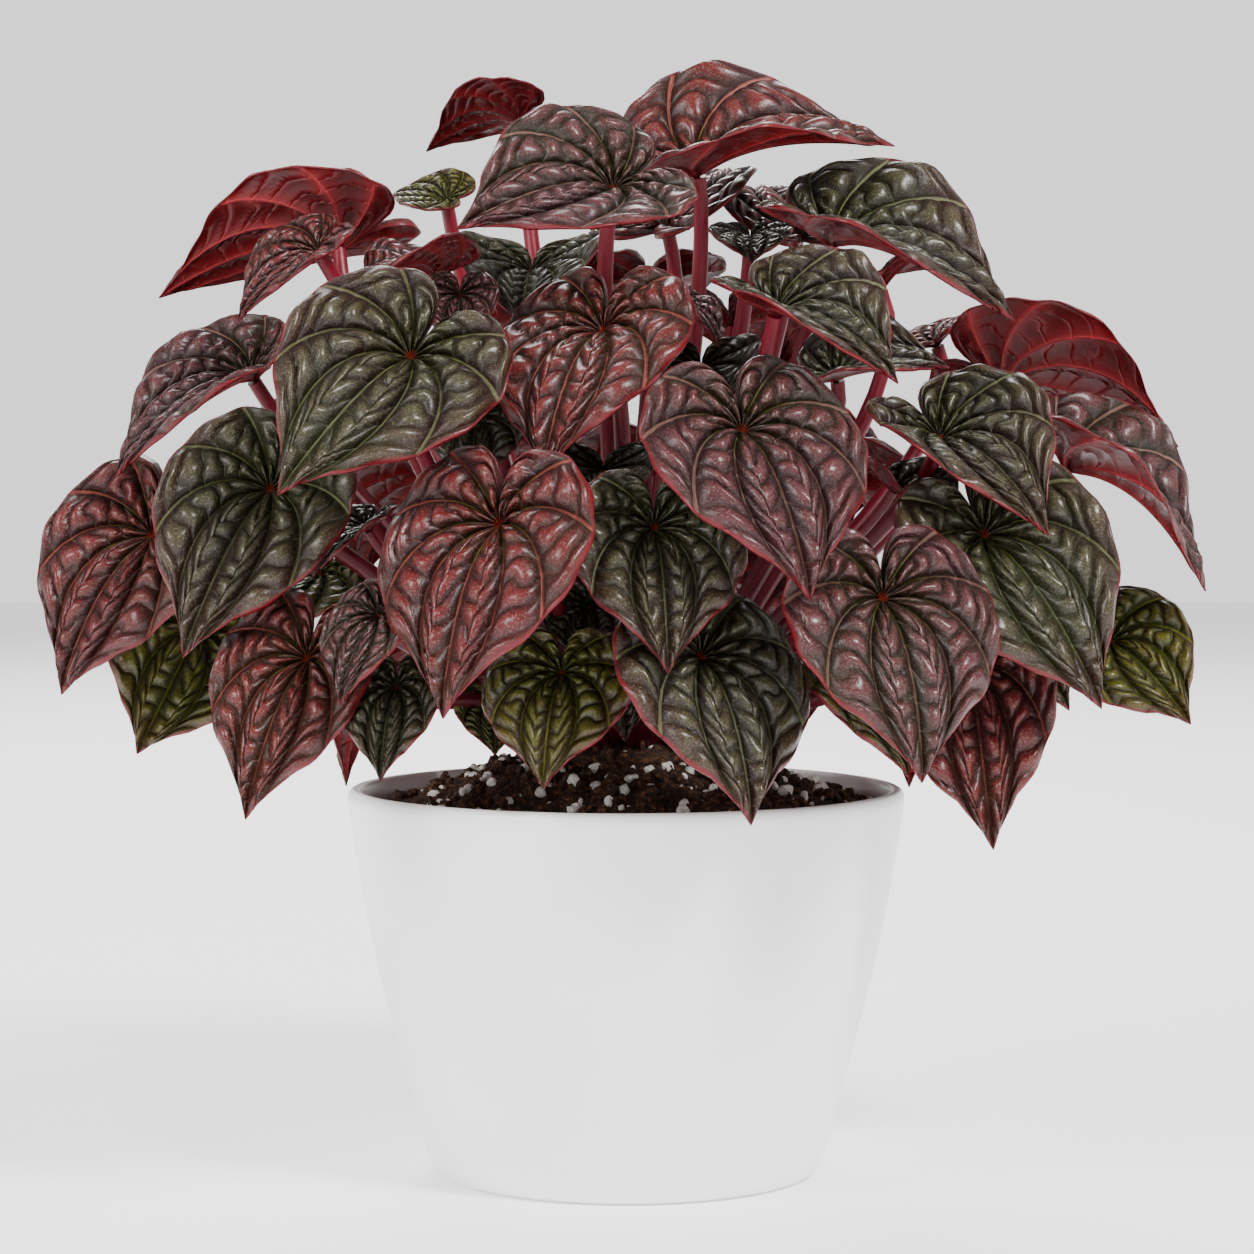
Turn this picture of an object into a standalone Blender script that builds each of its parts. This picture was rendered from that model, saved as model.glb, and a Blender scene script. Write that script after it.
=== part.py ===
"""Ripple peperomia in a plain white pot.

A dome of quilted, heart-shaped leaves stands on fleshy crimson petioles that rise from one
root crown in a mound of potting soil. Metres, +Z up. The origin is the centre of the pot's
flat base, and the leaves' best side faces -Y.
"""

import math
import random
from typing import NamedTuple

import bmesh
import bpy
from mathutils import Matrix, Quaternion, Vector

MM = 0.001
MERGE = 0.00001

# The pot, a turned plastic shell.
# Its profile is in three runs of radius and height in millimetres: up the outer side, over the
# rim and down the inner side.
POT_OUTSIDE = ((42, 0), (44.5, 1), (46, 3.5), (50.5, 20), (56, 40), (60.5, 60), (63.3, 76),
               (64.8, 86), (64.9, 88.5))
POT_RIM = ((64.2, 89.8), (62.6, 90), (61.6, 89))
POT_INSIDE = ((60.4, 76), (57.5, 60), (53, 40), (47.5, 20), (43, 8), (38, 4))
POT_SIDES = 36

# The soil fills the pot with a clearance and rises in a mound round the crown.
SOIL_GAP = 0.3 * MM
SOIL_EDGE_Z = 85 * MM
SOIL_TOP_Z = 98 * MM
SOIL_RINGS = 7
SOIL_SIDES = 36
SOIL_FALL = 1.5  # The mound is flat at the crown and steepens towards the wall.
LUMP = 1.5 * MM
LUMP_SPACING = 2.6 * MM
LUMP_WAVES = ((0.9, 0.35, 0.0), (-0.45, 0.8, 1.3), (0.3, -1.05, 2.1))
CALM_EDGE = 1 * MM
CROWN_HOLE_RADIUS = 24 * MM
CROWN_HOLE_DEPTH = 12 * MM

# The crown is what all petioles grow from. It stands in the soil's hole.
CROWN_RADIUS = CROWN_HOLE_RADIUS - SOIL_GAP
CROWN_RISE = 4 * MM
CROWN_SIDES = 14
CROWN_SHOULDERS = ((0.55, 0.5), (0.9, 3), (1.0, 6))
ROOT_SPREAD = 19 * MM
ROOT_DEPTH = 5 * MM
FULL_SPREAD = 100 * MM  # A joint this far out has its root at the full spread.

# A leaf: its outline is a reach from the petiole joint, as a share of joint to tip, against the
# bearing from the tip in degrees. Veins lie in valleys, with a ridge between each two.
OUTLINE = ((0, 1.0), (12, 0.86), (25, 0.74), (45, 0.65), (70, 0.585), (95, 0.545),
           (120, 0.505), (140, 0.46), (160, 0.37), (180, 0.10))
VEIN_ANGLES = (0, 48, 100, 155)
RIDGE_ANGLES = (24, 74, 128)
VEIN_ARCH = math.radians(38)
RINGS = (0.3, 0.66, 1.0)
YOUNG_RINGS = (0.5, 1.0)
SMALL_LEAF = 27 * MM
BLADE_THICKNESS = 0.85 * MM
FUNNEL_HEIGHT = 0.13
FUNNEL_REACH = 0.17
PLEAT_HEIGHT = 0.055
PLEAT_END = 0.85  # The ridges are highest inside the edge, which they leave waved.
PETIOLE_GAP = 0.35 * MM
PETIOLE_RADIUS = 2.1 * MM
YOUNG_PETIOLE_RADIUS = 1.4 * MM
PETIOLE_SINK = 1.2 * MM
PETIOLE_SECTIONS = 3
PETIOLE_TAPER = (1.15, 0.8)
PETIOLE_LEAN = 0.7
PETIOLE_RISE = 0.4  # The handles' lengths, as shares of the straight line.
PETIOLE_ARRIVAL = 0.22


class Leaf(NamedTuple):
    """joint is where the petiole meets the blade and tip is its point, both in millimetres.

    turn tips the blade about the line between them, in degrees. breadth widens it, arch lifts
    its middle and cup lifts its sides, as shares of its length.
    """

    name: str
    joint: tuple
    tip: tuple
    turn: float
    breadth: float
    arch: float
    cup: float
    finish: str


LEAVES = (
    Leaf("front_01", (-27, -74, 153), (-39, -90, 113), -6, 0.98, 0.05, -0.04, "bronze"),
    Leaf("front_02", (6, -66, 152), (9, -84, 122), 0, 0.95, 0.05, -0.04, "dark"),
    Leaf("front_03", (25, -66, 173), (39, -90, 138), 10, 0.95, 0.06, -0.04, "plum"),
    Leaf("front_04", (-5, -42, 195), (-18, -68, 164), 0, 0.95, 0.06, -0.04, "bronze"),
    Leaf("front_05", (16, -66, 124), (27, -84, 90), 0, 1.0, 0.05, -0.04, "dark"),
    Leaf("front_06", (-14, -56, 120), (-18, -68, 96), 0, 1.1, 0.05, -0.04, "olive"),
    Leaf("front_07", (55, -70, 137), (63, -86, 99), 5, 1.0, 0.06, -0.04, "plum"),
    Leaf("front_08", (-47, -56, 189), (-74, -80, 160), -42, 0.9, 0.06, 0.02, "dark"),
    Leaf("front_09", (-50, -60, 117), (-53, -72, 98), 0, 0.85, 0.05, 0, "dark"),
    Leaf("front_10", (-53, -68, 133), (-61, -80, 115), 0, 0.85, 0.05, 0, "plum"),
    Leaf("left_01", (-79, -42, 160), (-97, -58, 124), -38, 0.85, 0.06, 0.03, "dark"),
    Leaf("left_02", (-70, -52, 123), (-83, -64, 89), -30, 0.8, 0.06, 0.03, "bronze"),
    Leaf("left_03", (-109, -10, 149), (-130, -16, 113), -42, 0.95, 0.06, 0.02, "bronze"),
    Leaf("left_04", (-101, 12, 126), (-114, -2, 98), -50, 1.0, 0.05, 0, "olive"),
    Leaf("left_05", (-70, -14, 140), (-88, -22, 127), -30, 1.1, 0.06, 0, "olive"),
    Leaf("left_06", (-86, -8, 185), (-117, -18, 163), -18, 0.85, 0.08, 0.14, "plum"),
    Leaf("left_07", (-69, -28, 213), (-87, -34, 198), -20, 0.9, 0.08, 0.08, "bronze"),
    Leaf("left_08", (-66, -8, 215), (-109, 4, 205), 28, 0.75, 0.06, 0.16, "bronze"),
    Leaf("top_01", (17, 6, 233), (63, 12, 241), 22, 0.95, 0.06, 0.2, "bronze"),
    Leaf("top_02", (-3, -30, 227), (-37, -50, 218), -38, 0.95, 0.05, 0.08, "plum"),
    Leaf("top_03", (-26, 42, 248), (-49, 50, 242), 20, 1.0, 0.08, 0.08, "bronze"),
    Leaf("top_04", (-43, -24, 208), (-60, -38, 206), 0, 1.0, 0.08, 0.2, "bronze"),
    Leaf("top_05", (-22, 2, 210), (-24, -18, 198), 0, 1.3, 0.05, 0.15, "dark"),
    Leaf("right_01", (48, -2, 216), (89, -16, 199), 20, 0.9, 0.07, 0.2, "dark"),
    Leaf("right_02", (33, -46, 199), (59, -64, 184), 18, 0.9, 0.08, 0.2, "dark"),
    Leaf("right_03", (48, -20, 185), (73, -26, 188), 25, 1.2, 0.06, 0.12, "dark"),
    Leaf("right_04", (89, 14, 184), (131, 16, 170), -42, 0.9, 0.06, 0.05, "bronze"),
    Leaf("right_05", (70, -36, 171), (92, -60, 151), 20, 0.88, 0.08, 0.2, "dark"),
    Leaf("right_06", (102, -8, 164), (134, -12, 137), 12, 1.0, 0.08, 0.2, "plum"),
    Leaf("right_07", (79, -46, 150), (104, -60, 113), 42, 0.88, 0.06, 0.03, "dark"),
    Leaf("right_08", (113, -2, 124), (130, -14, 106), 45, 1.0, 0.06, 0.03, "olive"),
    Leaf("right_09", (77, -36, 120), (81, -52, 81), 18, 0.75, 0.06, 0.03, "bronze"),
    Leaf("right_10", (86, -14, 127), (101, -24, 110), 30, 1.0, 0.06, 0, "dark"),
    Leaf("right_11", (47, -50, 117), (62, -60, 98), 10, 0.85, 0.05, 0, "olive"),
    Leaf("rear_01", (-43, 30, 228), (-57, 37, 230), -30, 1.1, 0.06, 0.05, "olive"),
    Leaf("rear_02", (29, 6, 218), (29, -8, 212), 0, 1.1, 0.06, 0.05, "dark"),
    Leaf("rear_03", (41, 30, 219), (34, 56, 233), 0, 1.1, 0.06, 0.10, "bronze"),
    Leaf("rear_04", (10, 29, 221), (26, 55, 237), 0, 1.1, 0.06, 0.10, "bronze"),
    Leaf("rear_05", (61, 30, 207), (78, 50, 214), -20, 1.1, 0.06, 0.05, "bronze"),
    Leaf("rear_06", (75, 36, 194), (88, 46, 202), -10, 1.1, 0.06, 0.05, "bronze"),
)

# The small leaves low in the heart of the plant, which stay part of the crown's own piece.
YOUNG_LEAVES = (
    Leaf("young_01", (-37, -38, 203), (-37, -46, 190), 0, 1.0, 0.08, 0.1, "plum"),
    Leaf("young_02", (11, -30, 201), (21, -36, 192), 0, 1.0, 0.12, 0.1, "plum"),
    Leaf("young_03", (-34, -34, 176), (-34, -42, 160), 0, 1.2, 0.05, 0.1, "dark"),
    Leaf("young_04", (17, -24, 187), (16, -36, 173), 0, 1.3, 0.05, 0.2, "dark"),
    Leaf("young_05", (-5, -34, 164), (-5, -44, 153), 0, 1.5, 0.05, 0.2, "dark"),
    Leaf("young_06", (60, -34, 160), (70, -44, 150), 0, 1.2, 0.05, 0.2, "dark"),
    Leaf("young_08", (-8, -44, 134), (-10, -50, 121), 0, 1.2, 0.05, 0.1, "dark"),
    Leaf("young_09", (-4, -34, 121), (0, -42, 104), 0, 1.0, 0.05, 0.0, "dark"),
    Leaf("young_10", (-31, -36, 112), (-29, -42, 101), 0, 1.3, 0.05, 0.1, "olive"),
    Leaf("young_11", (-58, -34, 151), (-70, -44, 141), 0, 1.0, 0.08, 0.1, "dark"),
)

# The leaves of the far side stand in rings. Each row is a name, a count, the first and last
# bearing in degrees, the joint's radius and height, the tip's radius and height, and a finish.
FAR_RINGS = (
    ("back_low", 5, 40, 136, 76, 126, 97, 90, "olive"),
    ("back_middle", 6, 44, 146, 84, 166, 112, 138, "dark"),
    ("back_high", 3, 60, 114, 58, 204, 92, 190, "bronze"),
)
FAR_STAGGER = 5
FAR_JITTER = 2
FAR_ASIDE = 6
FAR_SEED = 11
FAR_FORM = (0, 1.0, 0.09, 0.05)  # Turn, breadth, arch and cup.

COLOURS = {
    "pot": (0.88, 0.88, 0.87),
    "soil": (0.045, 0.026, 0.017),
    "crown": (0.32, 0.015, 0.04),
    "dark": (0.055, 0.06, 0.045),
    "bronze": (0.19, 0.055, 0.04),
    "plum": (0.14, 0.07, 0.075),
    "olive": (0.13, 0.13, 0.035),
}
ROUGHNESS = {"pot": 0.35, "soil": 0.95}
LEAF_ROUGHNESS = 0.45


def clear_scene():
    for obj in list(bpy.data.objects):
        bpy.data.objects.remove(obj, do_unlink=True)


def material(name):
    """The finish of that name, made once."""
    made = bpy.data.materials.get(name)
    if made is None:
        made = bpy.data.materials.new(name)
        made.use_nodes = True
        shader = made.node_tree.nodes["Principled BSDF"]
        shader.inputs["Base Color"].default_value = (*COLOURS[name], 1)
        shader.inputs["Roughness"].default_value = ROUGHNESS.get(name, LEAF_ROUGHNESS)
        shader.inputs["Metallic"].default_value = 0
    return made


def add_object(name, data, collection):
    obj = bpy.data.objects.new(name, data)
    collection.objects.link(obj)
    return obj


def evaluated_mesh(obj):
    """The object's mesh in world space with its modifiers applied."""
    bpy.context.view_layer.update()
    graph = bpy.context.evaluated_depsgraph_get()
    mesh = bpy.data.meshes.new_from_object(obj.evaluated_get(graph))
    mesh.transform(obj.matrix_world)
    return mesh


def closed_mesh(obj):
    """The same, with a curve's caps welded to its wall and every face turned outwards."""
    mesh = evaluated_mesh(obj)
    edit = bmesh.new()
    edit.from_mesh(mesh)
    bmesh.ops.remove_doubles(edit, verts=edit.verts, dist=MERGE)
    bmesh.ops.triangulate(edit, faces=edit.faces)
    bmesh.ops.recalc_face_normals(edit, faces=edit.faces)
    edit.to_mesh(mesh)
    edit.free()
    return mesh


def turned(name, profile, sides, collection):
    """A solid of revolution about Z from (radius, height) pairs, outer side first, top down."""
    mesh = bpy.data.meshes.new(name)
    points = [(radius, 0, height) for radius, height in profile]
    mesh.from_pydata(points, [(i, i + 1) for i in range(len(points) - 1)], [])
    obj = add_object(name, mesh, collection)
    screw = obj.modifiers.new("turn", "SCREW")
    screw.axis = "Z"
    screw.steps = screw.render_steps = sides
    screw.use_merge_vertices = True
    screw.merge_threshold = MERGE
    return obj


def make_pot(collection):
    """A thin shell with a rounded rim and a flat base."""
    inside_up = [(0, POT_INSIDE[-1][1]), *reversed(POT_INSIDE), *reversed(POT_RIM)]
    outside_down = [*reversed(POT_OUTSIDE), (0, 0)]
    profile = [(radius * MM, height * MM) for radius, height in inside_up + outside_down]
    pot = turned("pot", profile, POT_SIDES, collection)
    pot.data.materials.append(material("pot"))
    pot.data.shade_smooth()
    return pot


def inner_radius(z):
    """The radius of the pot's hollow at a height, in metres."""
    points = [(height * MM, radius * MM) for radius, height in reversed(POT_INSIDE)]
    points.append((POT_RIM[-1][1] * MM, POT_RIM[-1][0] * MM))
    for (low, near), (high, far) in zip(points, points[1:]):
        if z <= high:
            share = max(0.0, (z - low) / (high - low))
            return near + (far - near) * share
    return points[-1][1]


def soil_height(radius):
    """The mound's height at a distance from the axis, in metres."""
    edge = inner_radius(SOIL_EDGE_Z) - SOIL_GAP
    share = min(1.0, radius / edge)
    fall = 0.5 + 0.5 * math.cos(math.pi * share**SOIL_FALL)
    return SOIL_EDGE_Z + (SOIL_TOP_Z - SOIL_EDGE_Z) * fall


def soil_lump(x, y):
    """Crumbs of soil: a few crossed waves, in metres."""
    total = sum(math.sin((a * x + b * y) / LUMP_SPACING + phase) for a, b, phase in LUMP_WAVES)
    return LUMP * total / len(LUMP_WAVES)


def make_soil(collection):
    """The pot's filling: a mound with lumps and a plain round hole for the crown."""
    edge = inner_radius(SOIL_EDGE_Z) - SOIL_GAP
    hole_floor = SOIL_TOP_Z - CROWN_HOLE_DEPTH
    profile = [(0, hole_floor), (CROWN_HOLE_RADIUS, hole_floor)]
    for ring in range(SOIL_RINGS + 1):
        radius = CROWN_HOLE_RADIUS + (edge - CROWN_HOLE_RADIUS) * ring / SOIL_RINGS
        profile.append((radius, soil_height(radius)))
    floor = POT_INSIDE[-1][1] * MM + SOIL_GAP
    for radius, height in POT_INSIDE[:-1]:
        profile.append((radius * MM - 2 * SOIL_GAP, height * MM))
    profile.append((POT_INSIDE[-1][0] * MM - 2 * SOIL_GAP, floor))
    profile.append((0, floor))
    turned_soil = turned("soil_turned", profile, SOIL_SIDES, collection)
    mesh = closed_mesh(turned_soil)
    bpy.data.objects.remove(turned_soil)
    for vertex in mesh.vertices:
        radius = math.hypot(vertex.co.x, vertex.co.y)
        inside = CROWN_HOLE_RADIUS + CALM_EDGE < radius < edge - CALM_EDGE
        if inside and vertex.co.z > SOIL_EDGE_Z:
            vertex.co.z += soil_lump(vertex.co.x, vertex.co.y)
    soil = add_object("soil", mesh, collection)
    soil.data.materials.append(material("soil"))
    return soil


def reach(angle):
    """The outline's reach at a bearing in degrees from the tip."""
    angle = abs(angle)
    for (low, near), (high, far) in zip(OUTLINE, OUTLINE[1:]):
        if angle <= high:
            return near + (far - near) * (angle - low) / (high - low)
    return OUTLINE[-1][1]


def vein_bend(bearing):
    """How much wider a vein leaves the joint than the bearing at which it meets the edge."""
    sine = max(0.0, math.sin(abs(bearing)))
    eased = math.sqrt(sine) if abs(bearing) < math.pi / 2 else sine
    return math.copysign(VEIN_ARCH * eased, bearing)


def blade_point(leaf, bearing, share):
    """A point of the blade's upper side as shares of its length.

    bearing is in degrees from the tip and share runs from the joint to the edge.
    """
    edge = math.radians(bearing)
    angle = edge + vein_bend(edge) * (1 - share)
    radius = reach(bearing) * share
    x = radius * math.cos(angle)
    y = radius * math.sin(angle) * leaf.breadth
    forward = max(0.0, x)
    height = FUNNEL_HEIGHT * (1 - math.exp(-radius / FUNNEL_REACH))
    height += 4 * leaf.arch * forward * (1 - forward) - FUNNEL_HEIGHT * forward**1.5
    height += 4 * leaf.cup * y * y
    if abs(bearing) in RIDGE_ANGLES:
        height += PLEAT_HEIGHT * math.sin(math.pi * share * PLEAT_END)
    return x, y, height


def blade_frame(leaf):
    """The blade's axes at its joint: along to the tip, to the side, and up out of its face."""
    joint, tip = Vector(leaf.joint) * MM, Vector(leaf.tip) * MM
    along = (tip - joint).normalized()
    up = (Vector((0, 0, 1)) - along * along.z).normalized()
    up.rotate(Quaternion(along, math.radians(leaf.turn)))
    side = up.cross(along)
    frame = Matrix((along, side, up)).transposed().to_4x4()
    frame.translation = joint
    return frame, (tip - joint).length


def make_blade(leaf, rings, collection):
    """One quilted blade: veins lie in its valleys, and both faces are split alike."""
    frame, length = blade_frame(leaf)
    bearings = sorted({a for b in VEIN_ANGLES + RIDGE_ANGLES for a in (b, -b)} | {180})
    edit = bmesh.new()
    middle = edit.verts.new(frame @ Vector((0, 0, 0)))
    loops = [[edit.verts.new(frame @ (Vector(blade_point(leaf, bearing, share)) * length))
              for bearing in bearings] for share in rings]
    for i in range(len(bearings)):
        j = (i + 1) % len(bearings)
        edit.faces.new((middle, loops[0][i], loops[0][j]))
        for inner, outer in zip(loops, loops[1:]):
            edit.faces.new((inner[i], outer[i], outer[j]))
            edit.faces.new((inner[i], outer[j], inner[j]))
    mesh = bpy.data.meshes.new(leaf.name)
    edit.to_mesh(mesh)
    edit.free()
    blade = add_object(leaf.name, mesh, collection)
    wall = blade.modifiers.new("thickness", "SOLIDIFY")
    wall.thickness = BLADE_THICKNESS
    wall.offset = -1
    return blade


def make_leaf(leaf, collection):
    small = math.dist(leaf.joint, leaf.tip) * MM < SMALL_LEAF
    blade = make_blade(leaf, YOUNG_RINGS if small else RINGS, collection)
    blade.data.materials.append(material(leaf.finish))
    return blade


def root_of(leaf):
    """Where a petiole leaves the crown: on its leaf's bearing, further out for outer leaves."""
    joint = Vector(leaf.joint) * MM
    flat = Vector((joint.x, joint.y, 0))
    spread = min(1.0, flat.length / FULL_SPREAD)
    place = flat.normalized() * ROOT_SPREAD * spread
    place.z = SOIL_TOP_Z + CROWN_RISE - ROOT_DEPTH
    return place, spread


def make_petiole(leaf, radius, gap, collection):
    """A tapered stalk from the crown to the blade's underside, which it meets square on."""
    frame, _ = blade_frame(leaf)
    up = frame.to_3x3() @ Vector((0, 0, 1))
    root, spread = root_of(leaf)
    end = frame.translation - up * (BLADE_THICKNESS + gap)
    span = (end - root).length
    outward = Vector((root.x, root.y, 0)).normalized()
    start_way = (Vector((0, 0, 1)) + outward * PETIOLE_LEAN * spread).normalized()
    curve = bpy.data.curves.new(leaf.name + "_petiole", "CURVE")
    curve.dimensions = "3D"
    curve.resolution_u = PETIOLE_SECTIONS
    curve.bevel_depth = radius
    curve.bevel_resolution = 1
    curve.use_fill_caps = True
    spline = curve.splines.new("BEZIER")
    spline.bezier_points.add(1)
    first, last = spline.bezier_points
    first.co, last.co = root, end
    rise = start_way * span * PETIOLE_RISE
    arrival = up * span * PETIOLE_ARRIVAL
    first.handle_left, first.handle_right = root - rise, root + rise
    last.handle_left, last.handle_right = end - arrival, end + arrival
    first.radius, last.radius = PETIOLE_TAPER
    return add_object(leaf.name + "_petiole", curve, collection)


def far_leaves():
    """The far side's leaves, ring by ring, every other one set back a little."""
    draw = random.Random(FAR_SEED)
    made = []
    for name, count, first, last, joint_r, joint_z, tip_r, tip_z, finish in FAR_RINGS:
        for i in range(count):
            bearing = math.radians(first + (last - first) * i / (count - 1))
            aside = math.radians(draw.uniform(-FAR_ASIDE, FAR_ASIDE))
            back = FAR_STAGGER * (1 if i % 2 else -1)
            shift = [draw.uniform(-FAR_JITTER, FAR_JITTER) for _ in range(3)]
            joint = ((joint_r + back) * math.cos(bearing) + shift[0],
                     (joint_r + back) * math.sin(bearing) + shift[1], joint_z + back + shift[2])
            tip = ((tip_r + back) * math.cos(bearing + aside) + shift[0],
                   (tip_r + back) * math.sin(bearing + aside) + shift[1], tip_z + back + shift[2])
            made.append(Leaf(f"{name}_{i + 1:02d}", joint, tip, *FAR_FORM, finish))
    return made


def make_crown(leaves, collection):
    """The root crown with every petiole and the young leaves, joined into one body."""
    repeats = bpy.data.collections.new("crown_growth")
    bpy.context.scene.collection.children.link(repeats)
    stalks = [make_petiole(leaf, PETIOLE_RADIUS, PETIOLE_GAP, repeats) for leaf in leaves]
    for leaf in YOUNG_LEAVES:
        make_blade(leaf, YOUNG_RINGS, repeats)
        stalks.append(make_petiole(leaf, YOUNG_PETIOLE_RADIUS, -PETIOLE_SINK, repeats))
    for obj in list(repeats.objects):
        add_object(obj.name + "_solid", closed_mesh(obj), repeats)
        bpy.data.objects.remove(obj)
    floor = SOIL_TOP_Z - CROWN_HOLE_DEPTH + SOIL_GAP
    top = SOIL_TOP_Z + CROWN_RISE
    profile = [(0, top)]
    profile += [(share * CROWN_RADIUS, top - drop * MM) for share, drop in CROWN_SHOULDERS]
    profile += [(CROWN_RADIUS, floor), (0, floor)]
    base = turned("crown_base", profile, CROWN_SIDES, collection)
    crown = add_object("crown", closed_mesh(base), collection)
    bpy.data.objects.remove(base)
    union = crown.modifiers.new("growth", "BOOLEAN")
    union.operation = "UNION"
    union.operand_type = "COLLECTION"
    union.collection = repeats
    union.solver = "MANIFOLD"  # EXACT leaves flat scraps here.
    joined = evaluated_mesh(crown)
    crown.modifiers.clear()
    crown.data = joined
    crown.data.materials.clear()
    crown.data.materials.append(material("crown"))
    for obj in list(repeats.objects):
        bpy.data.objects.remove(obj)
    bpy.data.collections.remove(repeats)
    return crown


def main():
    clear_scene()
    plant = bpy.data.collections.new("ripple_peperomia")
    bpy.context.scene.collection.children.link(plant)
    make_pot(plant)
    make_soil(plant)
    leaves = list(LEAVES) + far_leaves()
    make_crown(leaves, plant)
    for leaf in leaves:
        make_leaf(leaf, plant)


main()
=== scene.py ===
import math
import random
from typing import NamedTuple

import bmesh
import bpy
import numpy as np
from mathutils import Matrix, Quaternion, Vector


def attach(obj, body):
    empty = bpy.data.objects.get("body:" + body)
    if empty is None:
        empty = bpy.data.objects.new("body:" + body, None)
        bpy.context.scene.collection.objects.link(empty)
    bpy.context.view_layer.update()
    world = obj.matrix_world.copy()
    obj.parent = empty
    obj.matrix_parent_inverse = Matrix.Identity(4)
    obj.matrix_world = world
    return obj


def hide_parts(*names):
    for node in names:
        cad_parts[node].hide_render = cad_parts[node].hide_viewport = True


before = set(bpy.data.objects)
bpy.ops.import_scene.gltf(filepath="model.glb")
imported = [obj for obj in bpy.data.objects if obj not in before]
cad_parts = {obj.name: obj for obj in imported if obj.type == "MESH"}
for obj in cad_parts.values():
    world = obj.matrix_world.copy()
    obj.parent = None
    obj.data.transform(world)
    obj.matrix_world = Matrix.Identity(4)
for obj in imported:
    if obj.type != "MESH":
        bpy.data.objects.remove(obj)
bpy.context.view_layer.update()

MM = 0.001


class Leaf(NamedTuple):
    """A blade: its joint with the stalk and its tip in millimetres, its turn about that line in
    degrees, its breadth, arch and cup as shares, and its finish. part.py holds the same rows."""

    name: str
    joint: tuple
    tip: tuple
    turn: float
    breadth: float
    arch: float
    cup: float
    finish: str


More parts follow.
